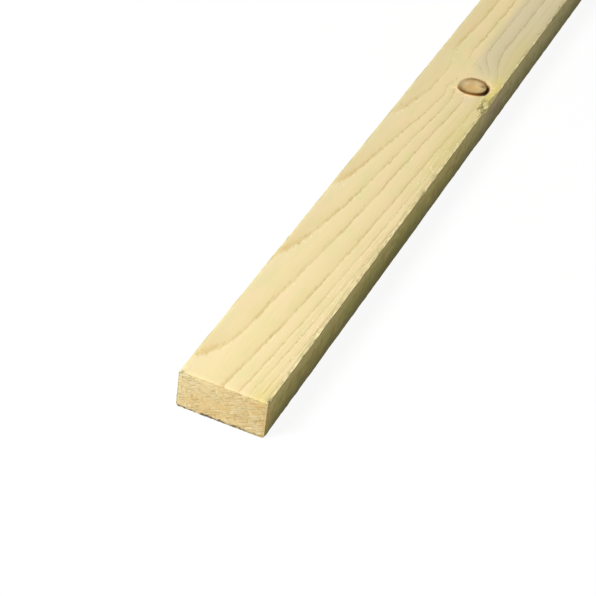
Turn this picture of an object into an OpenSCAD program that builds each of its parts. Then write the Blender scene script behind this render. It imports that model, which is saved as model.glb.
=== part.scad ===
// Sawn softwood plank, one piece of square-edged timber.
// It lies flat on its broad face and runs along Y. The knotty end is the near end, at -Y.
// The origin is at the middle of the underside. All sizes are in millimetres.

/* [Plank] */
// Length of the plank, as stocked
plank_length = 1800; // [600:100:4800]
// Width of the broad face
plank_width = 47; // [38:1:150]
// Thickness of the plank
plank_thickness = 22; // [12:1:75]
// Radius to which the saw and handling ease the four long arrises
arris_radius = 0.4; // [0.2:0.1:2.5]

/* [Knot] */
// Thickness of the branch that the saw cut through
knot_diameter = 16; // [6:0.2:20]
// Distance from the near end to the middle of the knot
knot_from_end = 317; // [40:1:500]
// Distance from the right edge to the middle of the knot
knot_from_edge = 15.5; // [12:0.5:24]
// Tilt of the branch across the plank, towards the right edge, in degrees
knot_tilt = 12; // [0:1:35]
// Lean of the branch along the plank, towards the near end, in degrees
knot_lean = 8; // [0:1:35]

/* [Bark ring] */
// Width of the open ring around the dead knot at its widest
ring_wide = 2.6; // [0.8:0.1:3]
// Width of the ring on its other side
ring_narrow = 0.6; // [0.2:0.1:0.7]
// Depth to which the ring is open
ring_depth = 1.6; // [0.4:0.1:4]
// Direction of the widest place, from +X towards the near end, in degrees
ring_turn = 20; // [0:5:90]

/* [Torn arris] */
// Distance from the near end to the middle of the torn place beside the knot
tear_from_end = 300; // [40:1:500]
// Length of the torn place along the arris
tear_length = 17; // [6:1:40]
// Reach of the tear across the top face
tear_width = 3.6; // [1:0.2:4]
// Reach of the tear down the right edge
tear_depth = 2.2; // [0.6:0.2:4]
// Length of the shallow worn place that follows the tear
worn_length = 26; // [8:1:60]
// Reach of the worn place across the top face
worn_width = 1.7; // [0.8:0.1:3]
// Reach of the worn place down the right edge
worn_depth = 1; // [0.4:0.1:3]

/* [Nicks] */
// Length of a small nick along an arris
nick_length = 5; // [2:0.5:10]
// Reach of a nick across the broad face
nick_width = 1.3; // [0.8:0.1:3]
// Reach of a nick across the edge
nick_depth = 1.1; // [0.6:0.1:3]

/* [Hidden] */
$fn = 96;

wood_colour = [0.93, 0.86, 0.68];
// Side of the plank that a feature is on
LEFT = -1;
RIGHT = 1;
// Broad face that a feature is on
TOP = 1;
BOTTOM = -1;

near_end = -plank_length / 2;
top = plank_thickness;

// The branch comes out through the top face at the knot.
knot_x = plank_width / 2 - knot_from_edge;
knot_y = near_end + knot_from_end;

// The ring lies between the branch and a wider sheath that is set off to one side.
sheath_diameter = knot_diameter + ring_wide + ring_narrow;
sheath_shift = (ring_wide - ring_narrow) / 2 * [cos(ring_turn), -sin(ring_turn), 0];
ring_reach = plank_width;
cutter_clearance = 5;

worn_from_end = tear_from_end + tear_length / 2;

// Small nicks: distance from the near end, side and broad face
nicks = [
    [2, LEFT, TOP],
    [4, RIGHT, TOP],
    [203, RIGHT, TOP],
    [219, RIGHT, TOP],
    [0, LEFT, BOTTOM],
    [0, RIGHT, BOTTOM]
];

// Section of the plank, a rectangle with eased corners, on the underside's middle
module section() {
    translate([-plank_width / 2 + arris_radius, 0])
        square([plank_width - 2 * arris_radius, plank_thickness]);
    translate([-plank_width / 2, arris_radius])
        square([plank_width, plank_thickness - 2 * arris_radius]);
    for (side = [LEFT, RIGHT], height = [arris_radius, plank_thickness - arris_radius])
        translate([side * (plank_width / 2 - arris_radius), height])
            circle(r = arris_radius);
}

// The section as it leaves the saw, cut square to length
module sawn_length() {
    translate([0, plank_length / 2, 0])
        rotate([90, 0, 0])
            linear_extrude(height = plank_length)
                section();
}

// Round bar along the branch, through the middle of the knot on the top face
module branch(diameter) {
    translate([knot_x, knot_y, top])
        rotate([knot_lean, knot_tilt, 0])
            cylinder(d = diameter, h = 2 * ring_reach, center = true);
}

// Open ring that the dead bark leaves around the knot, wider on one side
module bark_ring() {
    intersection() {
        difference() {
            translate(sheath_shift) branch(sheath_diameter);
            branch(knot_diameter);
        }
        translate([knot_x - ring_reach / 2, knot_y - ring_reach / 2, top - ring_depth])
            cube([ring_reach, ring_reach, ring_depth + cutter_clearance]);
    }
}

// Scallop where wood is gone from an arris. It is deepest at its middle and runs out at both ends.
module scallop(from_end, side, face, length, width, depth) {
    sagitta = width * depth / norm([width, depth]);
    radius = (pow(length / 2, 2) + pow(sagitta, 2)) / (2 * sagitta);
    slope = atan2(depth, width);
    reach = 4 * (width + depth);
    height = top / 2 + face * (top / 2 - depth);
    translate([side * plank_width / 2, near_end + from_end, height])
        rotate([0, side * face * slope, 0])
            translate([0, 0, face * radius])
                rotate([0, 90, 0])
                    cylinder(r = radius, h = reach, center = true, $fn = 180);
}

// One sawn piece: the length, less the ring around the knot and the wood lost from the arrises
module plank() {
    color(wood_colour)
        difference() {
            sawn_length();
            bark_ring();
            scallop(tear_from_end, RIGHT, TOP, tear_length, tear_width, tear_depth);
            scallop(worn_from_end, RIGHT, TOP, worn_length, worn_width, worn_depth);
            for (nick = nicks)
                scallop(nick[0], nick[1], nick[2], nick_length, nick_width, nick_depth);
        }
}

plank();
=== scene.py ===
"""Looks of a sawn softwood plank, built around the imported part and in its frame"""

from math import cos, hypot, pi, radians, sin, tan

import bmesh
import bpy
from mathutils import Matrix, Vector


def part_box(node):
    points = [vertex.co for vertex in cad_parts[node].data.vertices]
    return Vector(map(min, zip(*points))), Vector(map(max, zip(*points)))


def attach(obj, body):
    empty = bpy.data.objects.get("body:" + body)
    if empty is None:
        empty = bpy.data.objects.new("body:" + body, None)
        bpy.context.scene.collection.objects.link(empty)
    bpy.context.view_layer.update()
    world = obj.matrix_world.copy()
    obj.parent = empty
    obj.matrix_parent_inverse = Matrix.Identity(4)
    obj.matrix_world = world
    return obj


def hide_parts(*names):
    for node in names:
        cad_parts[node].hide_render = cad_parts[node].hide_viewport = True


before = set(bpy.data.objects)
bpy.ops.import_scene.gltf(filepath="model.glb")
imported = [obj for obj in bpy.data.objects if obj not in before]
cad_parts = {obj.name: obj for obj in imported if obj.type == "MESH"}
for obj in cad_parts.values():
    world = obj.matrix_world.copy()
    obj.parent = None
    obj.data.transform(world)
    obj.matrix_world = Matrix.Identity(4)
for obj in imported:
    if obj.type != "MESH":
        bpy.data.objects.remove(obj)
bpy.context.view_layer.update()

MM = 0.001

# Sizes on the plank are in mm. Places are mm across from the left edge, along from the near end, and down.
low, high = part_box("plank")
WIDTH = (high.x - low.x) / MM
LENGTH = (high.y - low.y) / MM
THICKNESS = (high.z - low.z) / MM

# Knot and open bark ring, as in the part
KNOT_ACROSS = WIDTH - 15.5
KNOT_ALONG = 317.0
KNOT_RADIUS = 8.0
KNOT_TILT = radians(12)
KNOT_LEAN = radians(8)
RING_WIDE = 2.6
RING_NARROW = 0.6
RING_DEPTH = 1.6
RING_TURN = radians(20)
SHEATH_RADIUS = KNOT_RADIUS + (RING_WIDE + RING_NARROW) / 2
SHEATH_SHIFT_ACROSS = (RING_WIDE - RING_NARROW) / 2 * cos(RING_TURN)
SHEATH_SHIFT_ALONG = -(RING_WIDE - RING_NARROW) / 2 * sin(RING_TURN)

# Outlines of the cut branch and of its bark on the weathered face, within 1 mm of the part's circles
FACE_SHIFT_ACROSS = 0.25
FACE_SHIFT_ALONG = 0.35
FACE_RADIUS = KNOT_RADIUS + 0.1
BARK_SHIFT_ACROSS = SHEATH_SHIFT_ACROSS
BARK_SHIFT_ALONG = SHEATH_SHIFT_ALONG + 0.5
BARK_RADIUS = SHEATH_RADIUS - 0.4

# Torn place beside the knot, worn place that follows it and nicks, as in the part
TEAR_ALONG = 300.0
TEAR_LENGTH = 17.0
TEAR_REACH = 3.6
TEAR_DEPTH = 2.2
WORN_ALONG = TEAR_ALONG + TEAR_LENGTH / 2
WORN_LENGTH = 26.0
WORN_REACH = 1.7
WORN_DEPTH = 1.0
NICK_LENGTH = 5.0
NICK_REACH = 1.3
NICK_DEPTH = 1.1
NICKS = [
    ("left", "top", 2.0),
    ("right", "top", 4.0),
    ("right", "top", 203.0),
    ("right", "top", 219.0),
    ("left", "bottom", 0.0),
    ("right", "bottom", 0.0),
]

# Wood lost from an arris: side, broad face, middle along the plank, length, reach across the face, depth
LOST_WOOD = [
    ("right", "top", TEAR_ALONG, TEAR_LENGTH, TEAR_REACH, TEAR_DEPTH),
    ("right", "top", WORN_ALONG, WORN_LENGTH, WORN_REACH, WORN_DEPTH),
]
LOST_WOOD += [(*nick, NICK_LENGTH, NICK_REACH, NICK_DEPTH) for nick in NICKS]

# How far down an edge the mesh follows the wood that is lost above it
RUN_OUT_DOWN = 8.0

# Mesh: the stretch that is seen close up is finer, and finest at the knot, the torn place and the near end.
CLOSE_STRETCH = 470
CUTS_ACROSS = 23
CUTS_THROUGH = 10
CUTS_CLOSE = 6
CUTS_FAR = 5
ROUNDS_ALONG = 3
CUTS_DAMAGE = 4
CUTS_END = 2

# Zones of the finest mesh: around the bark, along the torn arris and at the near end
FINE_RADIUS = SHEATH_RADIUS + 2
FINE_TEAR_MIDDLE = TEAR_ALONG + 6
FINE_TEAR_HALF = 20
FINE_TEAR_ACROSS = 6
FINE_TEAR_DOWN = 5
FINE_END = 2

# Easing of the long arrises and of the ends' edges
ARRIS_RADIUS = 0.4
END_EASING = 0.2

# Layer of the mesh that counts as the top face
TOP_LAYER = 0.4

# Relief: the ragged step in the torn place, depths of uneven places, and their stretch along the grain
TORN_STEP_SIDE = WIDTH - 4.0
TORN_STEP_DEPTH = 0.35
TORN_FIBRE_DEPTH = 0.6
WORN_ARRIS_DEPTH = 0.6
KNOT_FACE_DEPTH = 0.3
SAWN_FACE_DEPTH = 0.12
GRAIN_STRETCH = 8


def place_mm(point):
    """A point of the mesh as mm across, along and down"""
    return (point.x - low.x) / MM, (point.y - low.y) / MM, (high.z - point.z) / MM


def ease(value, start, stop):
    """Rises smoothly from 0 at start to 1 at stop"""
    share = min(max((value - start) / (stop - start), 0), 1)
    return share * share * (3 - 2 * share)


# Shape

def pick_edges(plank, wanted):
    """Selects the edges whose middle and direction suit, in edit mode"""
    bpy.ops.mesh.select_mode(type="EDGE")
    bpy.ops.mesh.select_all(action="DESELECT")
    mesh = bmesh.from_edit_mesh(plank.data)
    for edge in mesh.edges:
        start, stop = (vertex.co for vertex in edge.verts)
        edge.select_set(wanted((start + stop) / 2, (stop - start).normalized()))
    bmesh.update_edit_mesh(plank.data)


def pick_faces(plank, wanted):
    """Selects the faces whose place across, along and down suits, in edit mode"""
    bpy.ops.mesh.select_mode(type="FACE")
    bpy.ops.mesh.select_all(action="DESELECT")
    mesh = bmesh.from_edit_mesh(plank.data)
    for face in mesh.faces:
        face.select_set(wanted(*place_mm(face.calc_center_median())))
    bmesh.update_edit_mesh(plank.data)


def cut_along(plank, axis, cuts, rounds=1, reach=lambda middle: True):
    """Cuts the edges that run along an axis into equal shares, in one or more rounds"""
    for _ in range(rounds):
        pick_edges(plank, lambda middle, way: abs(way[axis]) > 0.9 and reach(middle))
        bpy.ops.mesh.subdivide(number_cuts=cuts)


def sawn_block():
    """The sawn length as a block, cut into small faces that are finest on the close stretch"""
    bpy.ops.object.select_all(action="DESELECT")
    bpy.ops.mesh.primitive_cube_add(size=1, location=(low + high) / 2, scale=high - low)
    bpy.ops.object.transform_apply(location=True, rotation=True, scale=True)
    plank = bpy.context.object
    plank.name = "sawn_plank"
    plank.data.name = "sawn_plank"

    close_end = low.y + CLOSE_STRETCH * MM
    bpy.ops.object.mode_set(mode="EDIT")
    bpy.ops.mesh.select_all(action="SELECT")
    bpy.ops.mesh.bisect(plane_co=(0, close_end, 0), plane_no=(0, 1, 0))
    cut_along(plank, 0, CUTS_ACROSS)
    cut_along(plank, 2, CUTS_THROUGH)
    cut_along(plank, 1, CUTS_CLOSE, ROUNDS_ALONG, lambda middle: middle.y < close_end)
    cut_along(plank, 1, CUTS_FAR, ROUNDS_ALONG, lambda middle: middle.y > close_end)
    return plank


def ease_arrises(plank):
    """Rounds the four long arrises, and then the ends' edges a little"""
    def on_arris(middle, way):
        from_side = min(middle.x - low.x, high.x - middle.x)
        from_face = min(middle.z - low.z, high.z - middle.z)
        return abs(way.y) > 0.9 and from_side + from_face < 0.1 * MM

    pick_edges(plank, on_arris)
    bpy.ops.mesh.bevel(offset=ARRIS_RADIUS * MM, segments=3, profile=0.5)
    bpy.ops.mesh.select_all(action="DESELECT")
    bpy.ops.mesh.edges_select_sharp(sharpness=radians(60))
    bpy.ops.mesh.bevel(offset=END_EASING * MM, segments=2, profile=0.5)


def refine(plank):
    """Cuts the faces around the knot, along the torn arris and on the near end finer"""
    def near_knot(across, along, down):
        step = hypot(across - KNOT_ACROSS - SHEATH_SHIFT_ACROSS, along - KNOT_ALONG - SHEATH_SHIFT_ALONG)
        return down < 0.1 and step < FINE_RADIUS

    def near_tear(across, along, down):
        by_arris = across > WIDTH - FINE_TEAR_ACROSS and down < FINE_TEAR_DOWN
        return by_arris and abs(along - FINE_TEAR_MIDDLE) < FINE_TEAR_HALF

    def damaged(*place):
        return near_knot(*place) or near_tear(*place)

    def near_end(across, along, down):
        return along < FINE_END

    for zone, cuts in ((damaged, CUTS_DAMAGE), (near_end, CUTS_END)):
        pick_faces(plank, zone)
        bpy.ops.mesh.subdivide(number_cuts=cuts, ngon=False)
    bpy.ops.object.mode_set(mode="OBJECT")


def weigh(plank, name, amount):
    """A vertex group in which each vertex has the share that its place gives it"""
    group = plank.vertex_groups.new(name=name)
    for vertex in plank.data.vertices:
        share = amount(*place_mm(vertex.co))
        if share > 0.001:
            group.add([vertex.index], share, "REPLACE")
    return group.name


def sink(plank, name, amount, depth, texture=None, grain=None):
    """Lowers the wood by up to a depth in mm, straight down or, by a texture, square to its surface"""
    move = plank.modifiers.new(name, "DISPLACE")
    move.vertex_group = weigh(plank, name, amount)
    if texture:
        move.direction = "NORMAL"
        move.texture = texture
        move.texture_coords = "OBJECT"
        move.texture_coords_object = grain
        move.mid_level = 1
        move.strength = depth * MM
    else:
        move.direction = "Z"
        move.mid_level = 0
        move.strength = -depth * MM
    bpy.context.view_layer.objects.active = plank
    bpy.ops.object.modifier_apply(modifier=move.name)


def ring_share(across, along, down):
    """How deep the bark ring is open at a place on the top face"""
    if down > TOP_LAYER:
        return 0
    from_knot = across - KNOT_ACROSS
    past_knot = along - KNOT_ALONG
    outside_face = hypot(from_knot - FACE_SHIFT_ACROSS, past_knot - FACE_SHIFT_ALONG) - FACE_RADIUS
    inside_bark = BARK_RADIUS - hypot(from_knot - BARK_SHIFT_ACROSS, past_knot - BARK_SHIFT_ALONG)
    room = outside_face + inside_bark
    return ease(outside_face, -0.2, 0.6) * ease(inside_bark, -0.2, 0.6) * ease(room, 0.4, 1.8)


def lost_share(across, along, down, broad_face):
    """How far an arris of a broad face is gone at a place, as a share of the tear's depth"""
    from_face = down if broad_face == "top" else THICKNESS - down
    lost = 0
    for side, face, middle, length, reach, depth in LOST_WOOD:
        run_out = 1 - ((along - middle) / (length / 2)) ** 2
        if face != broad_face or run_out <= 0:
            continue
        from_edge = WIDTH - across if side == "right" else across
        on_face = max(1 - from_edge / (reach * run_out), 0)
        on_edge = max(1 - from_face / RUN_OUT_DOWN, 0)
        lost = max(lost, depth * run_out * on_face * on_edge)
    return lost / TEAR_DEPTH


def lost_on_top(*place):
    """Wood gone from the top arrises"""
    return lost_share(*place, "top")


def lost_below(*place):
    """Wood gone from the arrises of the underside"""
    return lost_share(*place, "bottom")


def arris_share(across, along, down):
    """Strongest on the four long arrises and on the rims of the ends"""
    from_side = min(across, WIDTH - across)
    from_face = min(down, THICKNESS - down)
    from_end = min(along, LENGTH - along)
    nearest = sorted((from_side, from_face, from_end))
    return 1 - ease(hypot(nearest[0], nearest[1]), 0.3, 1.8)


def tear_share(across, along, down):
    """The torn place beside the knot, with a ragged step on its inner side"""
    inner_side = TORN_STEP_SIDE + 0.6 * sin(along * 0.8) + 0.4 * sin(along * 2.1)
    on_top = ease(across, inner_side - 0.3, inner_side + 0.4) * (1 - ease(down, 2, 5))
    return on_top * (1 - ease(abs(along - TEAR_ALONG), 5, 9))


def knot_share(across, along, down):
    """The knot's own face"""
    from_middle = hypot(across - KNOT_ACROSS, along - KNOT_ALONG)
    return (down < TOP_LAYER) * (1 - ease(from_middle, KNOT_RADIUS - 1.5, KNOT_RADIUS))


def cloud(name, size):
    """A cloud texture for uneven wood, with patches of a size in mm across the grain"""
    texture = bpy.data.textures.new(name, "CLOUDS")
    texture.noise_scale = size
    texture.noise_depth = 2
    return texture


def wear(plank):
    """Opens the bark ring, takes the lost wood off the arrises and makes the sawn faces uneven"""
    bpy.ops.object.empty_add(location=(0, 0, 0))
    grain = bpy.context.object
    grain.scale = (MM, GRAIN_STRETCH * MM, MM)
    bpy.context.view_layer.update()

    sink(plank, "bark_ring", ring_share, RING_DEPTH)
    sink(plank, "lost_on_top", lost_on_top, TEAR_DEPTH)
    sink(plank, "lost_below", lost_below, -TEAR_DEPTH)
    sink(plank, "torn_place", tear_share, TORN_STEP_DEPTH)
    sink(plank, "torn_fibres", tear_share, TORN_FIBRE_DEPTH, cloud("torn_fibres", size=0.8), grain)
    sink(plank, "worn_arrises", arris_share, WORN_ARRIS_DEPTH, cloud("worn_arrises", size=0.8), grain)
    sink(plank, "knot_face", knot_share, KNOT_FACE_DEPTH, cloud("knot_face", size=2.0), grain)
    sink(plank, "sawn_faces", lambda *place: 1, SAWN_FACE_DEPTH, cloud("sawn_faces", size=6.0), grain)
    bpy.data.objects.remove(grain)
    plank.vertex_groups.clear()


# Map: a row of strips for each stretch of the length, one strip a face, and the two ends above them
MAP_CLOSE_SCALE = 0.0029
MAP_FAR_SCALE = MAP_CLOSE_SCALE / 2
MAP_END_SCALE = 0.0048
MAP_GAP = 0.004
MAP_SIDE_GAP = 0.008
MAP_ENDS = {"near": MAP_SIDE_GAP, "far": 0.5}
MAP_STRIPS = {"top": WIDTH, "right": THICKNESS, "bottom": WIDTH, "left": THICKNESS}
MAP_HALFWAY = (CLOSE_STRETCH + LENGTH) / 2
MAP_STRETCHES = (
    (0, CLOSE_STRETCH, MAP_CLOSE_SCALE),
    (CLOSE_STRETCH, MAP_HALFWAY, MAP_FAR_SCALE),
    (MAP_HALFWAY, LENGTH, MAP_FAR_SCALE),
)

# A mesh face belongs to an end or an edge if it lies within a zone there and looks out by more than a share.
MAP_END_ZONE = 1
MAP_END_TURN = 0.7
MAP_SIDE_ZONE = 3
MAP_SIDE_TURN = 0.71


def facing(face):
    """Which face of the plank a mesh face belongs to, by its place and the way that it looks"""
    across, along, down = place_mm(face.center)
    if min(along, LENGTH - along) < MAP_END_ZONE and abs(face.normal.y) > MAP_END_TURN:
        return "near" if along < MAP_END_ZONE else "far"
    if min(across, WIDTH - across) < MAP_SIDE_ZONE and abs(face.normal.x) > MAP_SIDE_TURN:
        return "left" if across < MAP_SIDE_ZONE else "right"
    return "top" if down < THICKNESS / 2 else "bottom"


def lay_out_map(plank):
    """A UV map with more room for the close stretch and for the ends"""
    corners = {}
    height = MAP_GAP
    for stretch in MAP_STRETCHES:
        for strip, size in MAP_STRIPS.items():
            corners[stretch, strip] = height
            height += size * stretch[2] + MAP_GAP

    plank.data.uv_layers.remove(plank.data.uv_layers[0])
    layer = plank.data.uv_layers.new(name="OFBake")
    for face in plank.data.polygons:
        strip = facing(face)
        middle = place_mm(face.center)[1]
        stretch = next((row for row in MAP_STRETCHES if middle < row[1]), MAP_STRETCHES[-1])
        start, stop, scale = stretch
        for corner in face.loop_indices:
            vertex = plank.data.vertices[plank.data.loops[corner].vertex_index]
            across, along, down = place_mm(vertex.co)
            if strip in MAP_ENDS:
                right = MAP_ENDS[strip] + across * MAP_END_SCALE
                up = height + down * MAP_END_SCALE
            else:
                share = (along - start) / (stop - start)
                depth = across if strip in ("top", "bottom") else down
                right = MAP_SIDE_GAP + share * (1 - 2 * MAP_SIDE_GAP)
                up = corners[stretch, strip] + depth * scale
            layer.uv[corner].vector = (right, up)


def shape_plank():
    """The finished plank, smooth on its faces and crisp at its edges"""
    plank = sawn_block()
    ease_arrises(plank)
    refine(plank)
    wear(plank)
    bpy.ops.object.select_all(action="DESELECT")
    plank.select_set(True)
    bpy.context.view_layer.objects.active = plank
    bpy.ops.object.shade_smooth_by_angle(angle=radians(45))
    lay_out_map(plank)
    return plank


# Nodes

class Field:
    """A number that varies from place to place in the wood. Arithmetic on it adds Math nodes."""

    def __init__(self, socket):
        self.socket = socket

    def __add__(self, other):
        return work_out("ADD", self, other)

    def __radd__(self, other):
        return work_out("ADD", other, self)

    def __sub__(self, other):
        return work_out("SUBTRACT", self, other)

    def __rsub__(self, other):
        return work_out("SUBTRACT", other, self)

    def __mul__(self, other):
        return work_out("MULTIPLY", self, other)

    def __truediv__(self, other):
        return work_out("DIVIDE", self, other)


class Recipe:
    """The nodes of a material or of the world"""

    def __init__(self, owner):
        owner.use_nodes = True
        self.owner = owner
        self.tree = owner.node_tree
        self.tree.nodes.clear()

    def add(self, kind, inputs, **settings):
        """A node of a kind, with its inputs set or linked"""
        node = self.tree.nodes.new("ShaderNode" + kind)
        for name, value in settings.items():
            setattr(node, name, value)
        for name, value in inputs.items():
            self.feed(node.inputs[name], value)
        return node

    def feed(self, socket, value):
        """Sets a socket, or links it to what it is given"""
        if isinstance(value, Field):
            value = value.socket
        if isinstance(value, bpy.types.NodeSocket):
            self.tree.links.new(value, socket)
        else:
            socket.default_value = value

    def blend(self, colour, tint, amount):
        """A colour that is mixed towards a tint by an amount from 0 to 1"""
        inputs = {"Factor": amount, "A": colour, "B": tint}
        return self.add("Mix", inputs, data_type="RGBA").outputs["Result"]

    def seen(self):
        """1 for what the camera sees, also in a gloss or through glass, and 0 for the light on the wood"""
        path = self.add("LightPath", {})
        seen = path.outputs["Is Camera Ray"]
        for kind in ("Is Glossy Ray", "Is Transmission Ray"):
            seen = self.add("Math", {0: seen, 1: path.outputs[kind]}, operation="MAXIMUM").outputs[0]
        return seen


wood = Recipe(bpy.data.materials.new("sawn_softwood"))


def work_out(operation, *terms):
    """A Math node"""
    node = wood.add("Math", dict(enumerate(terms)), operation=operation)
    return Field(node.outputs[0])


def step_length(first, second):
    """Length of a step with two sides"""
    return work_out("SQRT", first * first + second * second)


def bell(value, width):
    """1 where the value is 0, falling off smoothly within the width"""
    share = value / width
    return work_out("EXPONENT", share * share * -1)


def rise(value, start, stop, shape="SMOOTHSTEP"):
    """0 up to start and 1 from stop on"""
    inputs = {"Value": value, "From Min": start, "From Max": stop}
    return Field(wood.add("MapRange", inputs, interpolation_type=shape).outputs["Result"])


def fall(value, start, stop):
    """1 up to start and 0 from stop on"""
    return 1 - rise(value, start, stop)


def in_patches(place, size, shift, turn):
    """The place counted in patches of a size in mm, along turned axes"""
    inputs = {"Vector": place, "Location": (shift, shift, shift), "Rotation": turn, "Scale": size}
    return wood.add("Mapping", inputs, vector_type="TEXTURE").outputs["Vector"]


def mottle(place, size, detail=2.0, shift=0, turn=(0, 0, 0)):
    """Noise from 0 to 1 whose patches have a size in mm across, along and through the plank"""
    patches = in_patches(place, size, shift, turn)
    node = wood.add("TexNoise", {"Vector": patches, "Scale": 1.0, "Detail": detail})
    return Field(node.outputs["Fac"])


def bundles(place, size, shift=0, turn=(0, 0, 0)):
    """A number from 0 to 1 that jumps from one bundle of fibres to the next"""
    patches = in_patches(place, size, shift, turn)
    node = wood.add("TexVoronoi", {"Vector": patches, "Scale": 1.0})
    return Field(wood.add("SeparateColor", {"Color": node.outputs["Color"]}).outputs["Red"])


def tinted(colour, tint, amount):
    """A colour of the wood that is mixed towards a tint"""
    return wood.blend(colour, tint, amount)


def rgb(red, green, blue):
    """A colour in linear light"""
    return (red, green, blue, 1.0)


# Wood

PALE_WOOD = rgb(0.80, 0.665, 0.372)
GREENISH_WOOD = rgb(0.745, 0.66, 0.345)
PINKISH_WOOD = rgb(0.83, 0.655, 0.39)
LILAC_WOOD = rgb(0.78, 0.635, 0.43)
LATE_WOOD = rgb(0.58, 0.435, 0.185)
ORANGE_WOOD = rgb(0.76, 0.55, 0.25)
GREY_WOOD = rgb(0.64, 0.565, 0.385)
GREY_LATE_WOOD = rgb(0.40, 0.34, 0.18)
YELLOW_WOOD = rgb(0.70, 0.58, 0.175)
OLIVE_WOOD = rgb(0.66, 0.58, 0.24)
# Painted shade, tinted green, for gaps and grooves by the right arris and for the foot of the right edge
GREEN_PAINTED_SHADE = rgb(0.34, 0.32, 0.10)
PALE_FIBRE = rgb(0.90, 0.78, 0.50)
TORN_FIBRE = rgb(0.92, 0.82, 0.47)
KNOT_HALO = rgb(0.97, 0.73, 0.40)
END_PALE = rgb(0.83, 0.66, 0.37)
END_DEEP = rgb(0.76, 0.53, 0.225)
END_MARK = rgb(0.60, 0.41, 0.15)
# Painted shade for the underside rims of the ends and for the nicks at the near end
RIM_SHADE = rgb(0.11, 0.085, 0.06)
# Right edge, which lies in shade: its olive and warm colours are brighter than the top's wood, partly as
# painted light; its pale top is painted light and its dark foot painted shade
EDGE_OLIVE = rgb(0.88, 0.735, 0.275)
EDGE_GREEN = rgb(0.62, 0.60, 0.20)
EDGE_BROWN = rgb(0.74, 0.49, 0.20)
EDGE_WARM = rgb(0.95, 0.68, 0.28)
EDGE_GREY = rgb(0.84, 0.74, 0.45)
EDGE_PAINTED_LIGHT = rgb(0.97, 0.82, 0.41)
EDGE_PURPLE = rgb(0.74, 0.56, 0.42)
EDGE_DARK_AND_PAINTED_SHADE = rgb(0.42, 0.38, 0.17)
KNOT_TAN = rgb(0.62, 0.44, 0.20)
KNOT_GREY = rgb(0.66, 0.51, 0.29)
KNOT_ORANGE = rgb(0.66, 0.42, 0.155)
KNOT_LIGHT = rgb(0.78, 0.58, 0.25)
KNOT_BROWN = rgb(0.34, 0.22, 0.085)
GOLDEN_BARK = rgb(0.42, 0.21, 0.04)
BARK = rgb(0.13, 0.055, 0.008)
# Darkest bark together with painted shade, for the deep gap of the open ring
DEEP_BARK_AND_SHADE = rgb(0.04, 0.014, 0.002)

# Pith of the tree, below the left edge: it is nearest the top face at one place and sinks away from there.
PITH_ACROSS = 0.3
PITH_LEAST_DEPTH = 36.6
PITH_SWING = 24.8
PITH_NEAREST_ALONG = 474
PITH_SWING_LENGTH = 2700

# Count of the growth rings from a radius in mm: a steady width, and a slow change from wide to narrow years
RINGS_PER_MM = 0.2552
RING_CHANGE = 0.311
RING_CHANGE_LENGTH = 19.0
RING_START = 87.168

# Turn of the bundles of fibres on the broad face, of the torn fibres and of the saw scratches on the ends
FIBRE_SLANT = (0, 0, radians(18))
TEAR_SLANT = (0, 0, radians(-18))
SAW_SLANT = (0, radians(-25), 0)


class Spot:
    """A place in the wood: mm across, along and up, and its steps from the branch and from the bark"""

    def __init__(self):
        corner = Vector((low.x, low.y, high.z)) / MM
        metres = wood.add("TexCoord", {}).outputs["Object"]
        in_mm = {"Vector": metres, "Location": -corner, "Scale": [1 / MM] * 3}
        self.place = wood.add("Mapping", in_mm).outputs["Vector"]
        split = wood.add("SeparateXYZ", {"Vector": self.place})
        self.across, self.along, self.up = (Field(split.outputs[axis]) for axis in "XYZ")
        self.down = 0 - self.up
        self.from_knot = self.across - KNOT_ACROSS - self.up * tan(KNOT_TILT)
        self.past_knot = self.along - KNOT_ALONG + self.up * tan(KNOT_LEAN)
        self.branch = step_length(self.from_knot - FACE_SHIFT_ACROSS, self.past_knot - FACE_SHIFT_ALONG)
        self.aside = self.from_knot - BARK_SHIFT_ACROSS
        self.ahead = self.past_knot - BARK_SHIFT_ALONG
        self.sheath = step_length(self.aside, self.ahead)
        self.near_side = fall(self.ahead, -8, -1)
        self.rag = (mottle(self.place, (1.5, 1.5, 1.5), 3.0, shift=50) - 0.5) * 1.6


def pushed_out(spot, clear):
    """How far the rings are pushed outwards in mm: most beyond the branch, and by the stem's own waves"""
    lift = bell(clear, 18) * rise(spot.past_knot, 0, 12) * rise(spot.from_knot, -14, -3) * 8
    lift = lift - bell(clear, 8) * fall(spot.past_knot, -10, -2) * 1.5
    by_left = fall(spot.across, 9, 22)
    lift = lift + bell(spot.along - 295, 35) * (1.1 - by_left * 0.3)
    blunt = bell(spot.along - 45, 26) * 1.1 - rise(spot.along, 85, 110) * fall(spot.along, 285, 312) * 0.42
    return lift + blunt * by_left


def frayed(spot):
    """How far a ring jumps from one bundle of fibres to the next, in mm"""
    jag = (bundles(spot.place, (0.6, 3.5, 0.6), turn=FIBRE_SLANT) - 0.5) * 0.27
    jag = jag + (bundles(spot.place, (1.8, 12, 1.8), shift=300, turn=FIBRE_SLANT) - 0.5) * 0.3
    return jag * (rise(spot.across, 0, 22) * 0.65 + 0.35)


def time_of_year(spot, clear):
    """When in its year the wood grew, from 0 to 1, by its distance from the pith"""
    sway = work_out("COSINE", (spot.along - PITH_NEAREST_ALONG) * (2 * pi / PITH_SWING_LENGTH))
    above_pith = spot.up + PITH_LEAST_DEPTH + (1 - sway) * PITH_SWING
    spread = rise(spot.past_knot, 8, 38) * fall(spot.past_knot, 250, 700) * 0.25
    from_pith = spot.across - PITH_ACROSS - (spot.across - 26) * spread
    wander = (mottle(spot.place, (50, 180, 50), 1.0) - 0.5) * rise(spot.along, 420, 650) * 6
    radius = step_length(from_pith, above_pith) + wander + frayed(spot) - pushed_out(spot, clear)
    slow = work_out("COSINE", radius * (2 * pi / RING_CHANGE_LENGTH))
    return work_out("FRACT", radius * RINGS_PER_MM - slow * RING_CHANGE + RING_START)


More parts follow.
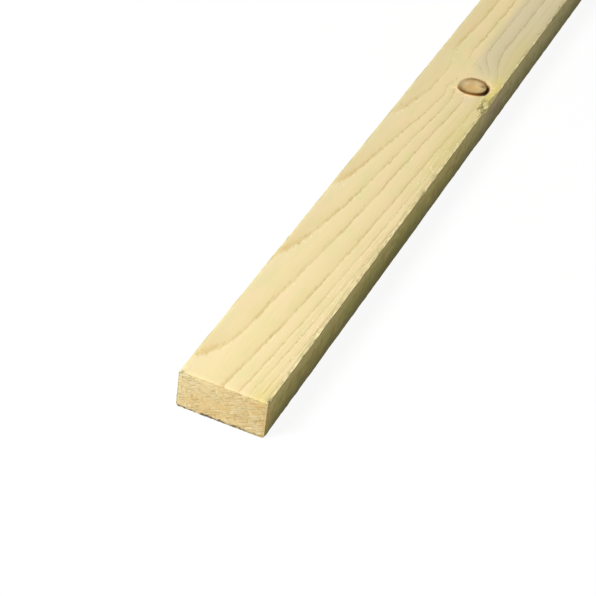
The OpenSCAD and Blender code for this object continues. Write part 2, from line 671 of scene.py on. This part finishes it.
def lines_shown(spot, clear):
    """How much of the ring lines shows: they fade where they crowd and bend beside the branch"""
    faded = bell(clear, 9) * rise(spot.past_knot, -3, 4)
    faded = faded + bell(spot.past_knot - 22, 14) * bell(spot.from_knot + 10, 6)
    faded = faded + bell(spot.past_knot - 28, 13) * bell(spot.from_knot + 22, 6) * 0.8
    faded = faded + bell(spot.along - 285, 45) * fall(spot.across, 15, 26) * 0.45
    return fall(faded, 0, 0.9)


class Rings:
    """Growth rings: patchy latewood with false rings by the right edge, earlywood, and flecks of both"""

    def __init__(self, spot):
        clear = work_out("MAXIMUM", spot.branch - KNOT_RADIUS, 0)
        year = time_of_year(spot, clear)
        shown = lines_shown(spot, clear)
        patchy = rise(mottle(spot.place, (5, 30, 5), 1.0, shift=700), 0.34, 0.62) * 0.75 + 0.25
        over = 1 - rise(year, 0.945, 1.0, "LINEAR")
        by_edge = rise(spot.across, 31, 37)
        self.hard = rise(year, 0.79, 0.94) * over * patchy * shown
        false_ring = bell(year - 0.4, 0.06) * by_edge * patchy
        self.late = rise(year, 0.30, 0.94) * over * shown * 0.28 + self.hard * 0.70 + false_ring * 0.3
        self.early = (fall(year, 0.0, 0.3) + bell(year - 0.52, 0.05) * by_edge) * shown
        fleck = bundles(spot.place, (0.7, 2.6, 0.7), shift=900, turn=FIBRE_SLANT)
        self.light_fleck = rise(fleck, 0.91, 0.93) * fall(year, 0.08, 0.16)
        self.dark_fleck = fall(fleck, 0.07, 0.09) * rise(year, 0.80, 0.86)


def plain_wood(spot, rings, fibre):
    """Broad tints, latewood and fibres along the grain"""
    place = spot.place
    green = rise(mottle(place, (9, 24, 9), 1.0, shift=210), 0.45, 0.75)
    pink = rise(mottle(place, (8, 20, 8), 1.0, shift=330), 0.5, 0.75)
    colour = tinted(PALE_WOOD, GREENISH_WOOD, green * 0.9)
    colour = tinted(colour, PINKISH_WOOD, pink * 0.8)
    colour = tinted(colour, GREY_WOOD, bell(spot.across, 7) * 0.3)
    colour = tinted(colour, PALE_FIBRE, rings.early * 0.18)
    colour = tinted(colour, LATE_WOOD, rings.late * 0.75)
    colour = tinted(colour, ORANGE_WOOD, rings.late * bell(spot.across, 7) * 0.7)
    colour = tinted(colour, LATE_WOOD, rise(fibre, 0.5, 0.9) * 0.25)
    colour = tinted(colour, PALE_FIBRE, fall(fibre, 0.2, 0.42) * 0.3)
    colour = tinted(colour, LATE_WOOD, rings.dark_fleck * 0.45)
    colour = tinted(colour, GREENISH_WOOD, fall(spot.across, 0.5, 3) * 0.6)
    return tinted(colour, PALE_FIBRE, rings.light_fleck * 0.7)


def stained_wood(spot, rings, colour):
    """Greyish wood beyond the knot, lilac wood before it, and olive and yellow wood along the right edge"""
    edge_of_grey = spot.across + rise(spot.past_knot, 5, 30) * 6
    beyond = rise(edge_of_grey, 26, 34) * rise(spot.past_knot, 5, 25) * fall(spot.past_knot, 100, 220)
    colour = tinted(colour, GREY_WOOD, beyond * 0.7)
    colour = tinted(colour, GREY_LATE_WOOD, beyond * rings.late * 0.45)
    before = step_length(spot.from_knot - 2, (spot.past_knot + 14) * 0.8)
    colour = tinted(colour, LILAC_WOOD, bell(before, 5) * 0.8)
    by_edge = bell(spot.across - WIDTH + 4, 6)
    colour = tinted(colour, OLIVE_WOOD, by_edge * bell(spot.past_knot + 60, 50) * 0.65)
    colour = tinted(colour, OLIVE_WOOD, by_edge * bell(spot.past_knot - 45, 35) * 0.6)
    colour = tinted(colour, YELLOW_WOOD, by_edge * bell(spot.along, 16) * 0.5)
    beside = bell(spot.across - WIDTH + 2.5, 3.5) * bell(spot.past_knot, 16)
    return tinted(colour, YELLOW_WOOD, beside)


def torn_fibres(spot, colour):
    """The torn place: painted green shade in the gaps between pale flakes, painted shade along an olive
    step, and flakes beside the knot
    """
    past_tear = spot.along - TEAR_ALONG
    flake = bundles(spot.place, (1.0, 4.2, 1.0), shift=1300, turn=TEAR_SLANT)
    torn = rise(spot.across, WIDTH - 6.5, WIDTH - 4.5) * bell(past_tear, 7)
    # Painted shade, tinted green, in the gaps between the torn flakes
    colour = tinted(colour, GREEN_PAINTED_SHADE, torn * rise(flake, 0.5, 0.65) * 0.75)
    either_side = bell(past_tear - 6, 17) * (1 - bell(past_tear - 10, 4.5))
    loose = rise(spot.across, WIDTH - 5, WIDTH - 3) * either_side
    colour = tinted(colour, TORN_FIBRE, loose * fall(flake, 0.34, 0.42) * 0.9)
    # Painted shade in a line along the olive step
    olive_step = rise(spot.across, WIDTH - 6, WIDTH - 4) * bell(past_tear - 6.5, 1.8)
    return tinted(colour, GREEN_PAINTED_SHADE, olive_step * 0.6)


def spiky_halo(spot, colour):
    """Pale spikes outside the bark, towards the near end and the right edge"""
    angle = work_out("ARCTAN2", spot.ahead, spot.aside)
    polar = wood.add("CombineXYZ", {"X": angle * 5, "Y": spot.sheath * 0.15}).outputs["Vector"]
    spikes = rise(mottle(polar, (1, 1, 1), 1.0), 0.35, 0.65)
    past_stain = spot.sheath + spot.rag * 0.4 - spot.near_side * 0.8
    outside = work_out("MAXIMUM", past_stain - BARK_RADIUS - 0.6, 0)
    before = fall(spot.ahead, -7, -1) * fall(spot.aside, 1, 6)
    beside = rise(spot.aside, 1, 7) * rise(spot.ahead, -6, -1) * 0.75
    toward = work_out("MAXIMUM", before, beside)
    return tinted(colour, KNOT_HALO, bell(outside, spikes * 2.8 + 0.6) * toward)


def dead_bark(spot):
    """Bark: nearly black on the right, golden brown at its outer side towards the near end, and darkest in
    the deep gap on the right, partly as painted shade
    """
    aside, ahead = spot.aside, spot.ahead
    bark = tinted(KNOT_BROWN, BARK, rise(aside - ahead * 0.7, -7, 6))
    outer = rise(spot.sheath, BARK_RADIUS - 1.8, BARK_RADIUS - 0.3)
    bark = tinted(bark, GOLDEN_BARK, outer * fall(ahead, -6, 0) * rise(aside, -5, 2))
    # Dark bark and painted shade in the deep gap beside the branch's face, on the right
    deep = rise(aside, 4, 8) * rise(spot.branch, FACE_RADIUS, FACE_RADIUS + 0.7) * fall(ahead, 3, 7)
    return tinted(bark, DEEP_BARK_AND_SHADE, deep)


def cut_branch(spot, pale_side):
    """Face of the branch: tan and orange tints, its own rings, a brown rim and two cracks"""
    aside, ahead, branch = spot.aside, spot.ahead, spot.branch
    knot = tinted(KNOT_TAN, KNOT_GREY, rise(mottle(spot.place, (4, 4, 4), 2.0, shift=1700), 0.4, 0.6))
    knot = tinted(knot, KNOT_ORANGE, bell(step_length(aside + 0.4, ahead + 2.4), 3.6) * 0.9)
    knot = tinted(knot, KNOT_LIGHT, bell(step_length(aside - 2.0, ahead - 1.5), 2.6) * 0.7)
    knot_year = work_out("FRACT", branch / 1.7 + spot.rag * 0.6)
    knot = tinted(knot, KNOT_BROWN, rise(knot_year, 0.3, 0.95) * 0.14)
    rim = rise(branch + spot.rag, FACE_RADIUS - 3.5, FACE_RADIUS)
    knot = tinted(knot, KNOT_BROWN, rim * (0.8 - pale_side * 0.55))
    far_line = rise(branch + spot.rag * 0.5, FACE_RADIUS - 1.6, FACE_RADIUS - 0.4) * rise(ahead, 2, 7)
    knot = tinted(knot, BARK, far_line * 0.55)
    for gap in (1.5, 3.2):
        crack = bell(ahead - gap - aside * 0.15 + spot.rag * 0.8, 0.5) * bell(aside - 5, 2.2)
        knot = tinted(knot, BARK, crack * 0.95)
    return knot


def dead_knot(spot, colour):
    """The cut branch inside its bark, which stains the wood around it and is pale on the left"""
    aside, ahead = spot.aside, spot.ahead
    stain = spot.near_side * (fall(aside, -6, 3) * 0.5 + 0.9) + rise(ahead, 2, 8) * 0.3
    stain = stain + rise(aside, 3, 8) * (0.2 - rise(ahead, 4, 7) * 0.5)
    stain = stain + bell(step_length(aside - 9, ahead + 3.5), 3.5) * 0.5
    in_bark = fall(spot.sheath + spot.rag * 0.6 - stain, BARK_RADIUS - 0.5, BARK_RADIUS + 0.5)
    face_edge = spot.branch + spot.rag * 0.4 + spot.near_side * 0.4
    in_branch = fall(face_edge, FACE_RADIUS - 0.7, FACE_RADIUS + 0.3)
    pale_side = fall(aside - ahead * 0.3, -10, -5)
    colour = tinted(colour, dead_bark(spot), in_bark * (1 - pale_side * 0.6))
    return tinted(colour, cut_branch(spot, pale_side), in_branch)


def shaded_edge(spot, colour):
    """The right edge, which lies in shade: olive with greener and browner patches, in colours brighter and
    yellower than the top's wood that partly stand in for light; paler at its top with painted light, and
    darker at its foot with painted shade
    """
    place = spot.place
    # The edge's olive is partly its own colour and partly painted light, brighter and yellower than the
    # top's wood to make up for its shade
    edge = tinted(colour, EDGE_OLIVE, 0.8)
    edge = tinted(edge, EDGE_GREEN, rise(mottle(place, (30, 40, 10), 1.0, shift=2100), 0.38, 0.62) * 0.75)
    edge = tinted(edge, EDGE_BROWN, rise(mottle(place, (8, 9, 8), 1.0, shift=2200), 0.48, 0.64) * 0.55)
    edge = tinted(edge, EDGE_GREY, rise(spot.along, 230, 330) * 0.7)
    edge = tinted(edge, EDGE_PURPLE, bell(spot.along - TEAR_ALONG - 17, 15) * 0.9)
    # Warm brown near the end, also brightened as painted light to make up for the shade
    edge = tinted(edge, EDGE_WARM, fall(spot.along, 3, 14) * 0.9)
    small = mottle(place, (4, 5, 4), 2.0, shift=2400)
    edge = tinted(edge, EDGE_DARK_AND_PAINTED_SHADE, fall(small, 0.34, 0.5) * 0.4)
    edge = tinted(edge, EDGE_GREY, rise(small, 0.54, 0.7) * 0.35)
    shade_blotch = (mottle(place, (5, 7, 5), 2.0, shift=2300) - 0.5) * 12
    # Painted shade: darker towards the foot of the edge, with ragged blotches
    edge = tinted(edge, EDGE_DARK_AND_PAINTED_SHADE, rise(spot.down + shade_blotch, 6, THICKNESS) * 0.9)
    # More painted shade, greener, on the lower part of the edge along the close stretch
    edge = tinted(edge, GREEN_PAINTED_SHADE, rise(spot.down, 8, 16) * bell(spot.along - 152, 38) * 0.55)
    # Painted light: a paler band along the top of the edge, strongest near the end
    painted_light_top = fall(spot.along, 60, 160) * 0.35 + 0.55
    edge = tinted(edge, EDGE_PAINTED_LIGHT, fall(spot.down, 1, 9) * painted_light_top)
    on_edge = rise(spot.across, WIDTH - 0.6, WIDTH - 0.25) * rise(spot.down, 0.2, 0.8)
    return tinted(colour, edge, on_edge)


def loose_fibres(spot, colour):
    """Pale and dark fibres along the right arris, painted shade in a groove and below the arris, and painted
    shade in the nicks at the near end
    """
    place = spot.place
    streak = mottle(place, (0.5, 22, 0.5), 1.0, shift=420)
    speck = bundles(place, (0.6, 1.4, 0.6), shift=440)
    on_top = fall(spot.down, 0.2, 0.5)
    by_arris = rise(spot.across, WIDTH - 12, WIDTH - 5) * fall(spot.along, 260, 300) * on_top
    colour = tinted(colour, PALE_FIBRE, by_arris * rise(streak, 0.55, 0.68) * 0.45)
    colour = tinted(colour, LATE_WOOD, by_arris * fall(streak, 0.34, 0.42) * 0.25)
    colour = tinted(colour, PALE_FIBRE, by_arris * rise(speck, 0.98, 0.985) * 0.9)
    from_arris = step_length(spot.across - WIDTH, spot.up)
    tuft = mottle(place, (0.7, 4.5, 0.7), 2.0, shift=400)
    sway = (mottle(place, (3, 30, 3), 1.0, shift=460) - 0.5) * 3
    # Painted shade: a wavering groove line beside the arris, and spots under the loose fibres at the arris
    groove = bell(spot.across - WIDTH + 2.1 + sway, 0.4) * on_top * fall(spot.along, 150, 280)
    colour = tinted(colour, GREEN_PAINTED_SHADE, groove * rise(tuft, 0.36, 0.56) * 0.45)
    colour = tinted(colour, GREEN_PAINTED_SHADE, bell(from_arris - 1.2, 0.6) * fall(tuft, 0.36, 0.44) * 0.6)
    colour = tinted(colour, TORN_FIBRE, bell(from_arris, 1.2) * rise(tuft, 0.44, 0.58) * 0.9)
    # Painted shade in the two nicks at the near end
    right_nick_shade = bell(from_arris - 0.5, 0.6) * bell(spot.along - 3, 1.9)
    left_nick_shade = bell(step_length(spot.across - 2, spot.up), 0.9) * bell(spot.along, 1.5)
    return tinted(colour, RIM_SHADE, right_nick_shade + left_nick_shade * 0.7)


class SawnEnds:
    """The two sawn ends: short saw scratches in patches, pits, and a dark rim of painted shade along the
    underside
    """

    def __init__(self, spot, rings):
        place = spot.place
        from_end = work_out("MINIMUM", spot.along, LENGTH - spot.along)
        self.share = fall(from_end, 0.12, 0.35)
        to_right = rise(spot.across, 5, 40) * 0.08
        scratched = rise(mottle(place, (6, 6, 5), 1.0, shift=500) + to_right, 0.46, 0.58)
        slanted = bundles(place, (5.0, 5.0, 0.42), shift=510, turn=SAW_SLANT)
        upright = bundles(place, (0.45, 3.0, 2.2), shift=560)
        self.pit = mottle(place, (1.4, 1.4, 1.4), 2.0, shift=600)
        self.raised = rise(slanted, 0.72, 0.82) * scratched + rise(upright, 0.97, 0.99)
        self.sunken = fall(slanted, 0.16, 0.26) * scratched + fall(upright, 0.015, 0.03)
        colour = tinted(END_PALE, END_DEEP, rise(spot.across, 3, WIDTH) * 0.95)
        colour = tinted(colour, GREENISH_WOOD, fall(spot.across, 0, 4) * 0.5)
        broad = mottle(place, (14, 14, 11), 0.0, shift=660)
        colour = tinted(colour, END_DEEP, rise(broad, 0.48, 0.66) * 0.4)
        colour = tinted(colour, END_PALE, fall(broad, 0.34, 0.52) * 0.5)
        colour = tinted(colour, LATE_WOOD, rings.late * 0.2)
        busy = rise(spot.across, 2, 26) * 0.4 + 0.6
        colour = tinted(colour, END_MARK, rise(self.pit, 0.52, 0.74) * busy * 0.4)
        colour = tinted(colour, PALE_FIBRE, fall(self.pit, 0.3, 0.45) * busy * 0.4)
        colour = tinted(colour, END_MARK, self.sunken * 0.6)
        self.colour = tinted(colour, PALE_FIBRE, self.raised * 0.9)

        # Painted shade: a ragged dark line along the underside rim, fainter towards the right
        shade_blotch = mottle(place, (2.5, 2.5, 2.5), 1.0, shift=620)
        from_under = THICKNESS - spot.down - rise(shade_blotch, 0.4, 0.7) * 1.2
        self.rim = fall(from_end, 0.3, 1.0) * fall(from_under, 0.3, 1.2) * rise(shade_blotch, 0.25, 0.5)
        self.rim = self.rim * (fall(spot.across, 26, WIDTH) * 0.7 + 0.3)
        worn = rise(mottle(place, (4, 4, 4), 1.0, shift=640), 0.45, 0.65)
        self.worn_edge = bell(step_length(from_end, spot.up), 0.6) * worn


def sawn_softwood():
    """Solid wood: growth rings bent round a dead knot, torn and loose fibres, a shaded edge, sawn ends, with
    painted light and shade on the edge, in hollows and along the rims
    """
    spot = Spot()
    rings = Rings(spot)
    fibre = mottle(spot.place, (0.5, 20, 0.5), 3.0, shift=110)
    ends = SawnEnds(spot, rings)

    colour = plain_wood(spot, rings, fibre)
    colour = stained_wood(spot, rings, colour)
    colour = torn_fibres(spot, colour)
    colour = spiky_halo(spot, colour)
    colour = dead_knot(spot, colour)
    colour = shaded_edge(spot, colour)
    colour = loose_fibres(spot, colour)
    colour = tinted(colour, ends.colour, ends.share)
    colour = tinted(colour, LATE_WOOD, ends.worn_edge * 0.8)
    # Painted shade along the underside rim of the ends
    colour = tinted(colour, RIM_SHADE, ends.rim * 0.85)

    relief = fibre * 0.06 + rings.hard * 0.05 + rings.light_fleck * 0.05 - rings.dark_fleck * 0.05
    relief = relief + (ends.raised * 0.16 - ends.sunken * 0.12 - ends.pit * 0.15) * ends.share
    bump = wood.add("Bump", {"Height": relief, "Distance": MM, "Strength": 0.9})
    finish = {
        "Base Color": colour,
        "Normal": bump.outputs["Normal"],
        "Roughness": 0.62 + fibre * 0.15,
        "Specular IOR Level": 0.1,
    }
    shader = wood.add("BsdfPrincipled", finish)
    wood.add("OutputMaterial", {"Surface": shader.outputs["BSDF"]})
    return wood.owner


# Stage, in metres

WHITE = rgb(1, 1, 1)
FLOOR_SIZE = 40
FLOOR_BOUNCE = rgb(0.37, 0.37, 0.30)
FLOOR_GLOW = 0.92
ROOM_COLOUR = rgb(1.0, 0.99, 0.86)
ROOM_STRENGTH = 0.2
LAMP_DISTANCE = 1.9
LAMP_SIZE = 0.8

# Lamps, all at the upper left: way from the wood to the lamp, mm along to the place that it lights, watts
NEAR_LAMP = ((-0.55, -0.66, 1.0), 0, 49)
FAR_LAMPS = {
    "middle_lamp": ((-0.55, 0.0, 1.0), 1080, 48),
    "far_lamp": ((-0.55, 0.66, 1.0), 1600, 90),
}
FAR_LAMP_CONE = radians(40)

# Camera: the way that it looks, its distance and lens, and the place in mm that it aims at
VIEW_AZIMUTH = radians(19.528)
VIEW_ELEVATION = radians(37.878)
VIEW_ROLL = radians(7.631)
VIEW_DISTANCE = 1.0356
VIEW_LENS = 125.71
VIEW_SENSOR = 36
AIM_ALONG = 80.8
AIM_ACROSS = 25.9


def pale_floor():
    """A floor that the camera sees as white, with the plank's soft shadow"""
    bpy.ops.object.select_all(action="DESELECT")
    bpy.ops.mesh.primitive_plane_add(size=FLOOR_SIZE, location=(0, 0, low.z))
    floor = bpy.context.object
    floor.name = "floor"
    paint = Recipe(bpy.data.materials.new("white_floor"))
    seen = paint.seen()
    share = paint.add("Math", {0: seen, 1: FLOOR_GLOW}, operation="MULTIPLY").outputs[0]
    matt = paint.add("BsdfDiffuse", {"Color": paint.blend(FLOOR_BOUNCE, WHITE, seen)})
    glow = paint.add("Emission", {"Color": WHITE, "Strength": 1.0})
    mixed = paint.add("MixShader", {0: share, 1: matt.outputs[0], 2: glow.outputs[0]})
    paint.add("OutputMaterial", {"Surface": mixed.outputs[0]})
    floor.data.materials.append(paint.owner)


def hang_lamp(kind, name, way, aim_along, power):
    """A lamp that looks at a place along the plank"""
    way = Vector(way).normalized()
    aim = Vector((0, low.y + aim_along * MM, high.z))
    bpy.ops.object.light_add(type=kind, location=aim + way * LAMP_DISTANCE)
    lamp = bpy.context.object
    lamp.name = name
    lamp.rotation_euler = way.to_track_quat("Z", "Y").to_euler()
    lamp.data.energy = power
    return lamp.data


def soft_lamps():
    """A large round lamp for the near end, and two soft spot lamps for the far stretch"""
    near = hang_lamp("AREA", "near_lamp", *NEAR_LAMP)
    near.shape = "DISK"
    near.size = LAMP_SIZE
    for name, setting in FAR_LAMPS.items():
        far = hang_lamp("SPOT", name, *setting)
        far.spot_size = FAR_LAMP_CONE
        far.spot_blend = 1.0
        far.shadow_soft_size = LAMP_SIZE / 2


def pale_room():
    """A dim room that the camera sees as white"""
    room = Recipe(bpy.data.worlds.new("pale_room"))
    dim = room.add("Background", {"Color": ROOM_COLOUR, "Strength": ROOM_STRENGTH})
    white = room.add("Background", {"Color": WHITE, "Strength": 1.0})
    mixed = room.add("MixShader", {0: room.seen(), 1: dim.outputs[0], 2: white.outputs[0]})
    room.add("OutputWorld", {"Surface": mixed.outputs[0]})
    bpy.context.scene.world = room.owner


def camera_at_photo_view():
    """A long lens that looks down along the plank from in front of its near end, on the right"""
    aim = Vector((low.x + AIM_ACROSS * MM, low.y + AIM_ALONG * MM, high.z))
    turn = (
        Matrix.Rotation(VIEW_AZIMUTH, 4, "Z")
        @ Matrix.Rotation(pi / 2 - VIEW_ELEVATION, 4, "X")
        @ Matrix.Rotation(VIEW_ROLL, 4, "Z")
    )
    bpy.ops.object.camera_add()
    camera = bpy.context.object
    camera.data.lens = VIEW_LENS
    camera.data.sensor_width = VIEW_SENSOR
    camera.matrix_world = Matrix.Translation(aim) @ turn @ Matrix.Translation((0, 0, VIEW_DISTANCE))
    bpy.context.scene.camera = camera


plank = shape_plank()
plank.data.materials.append(sawn_softwood())
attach(plank, "root")
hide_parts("plank")

pale_floor()
soft_lamps()
pale_room()
camera_at_photo_view()
bpy.context.scene.view_settings.view_transform = "Standard"
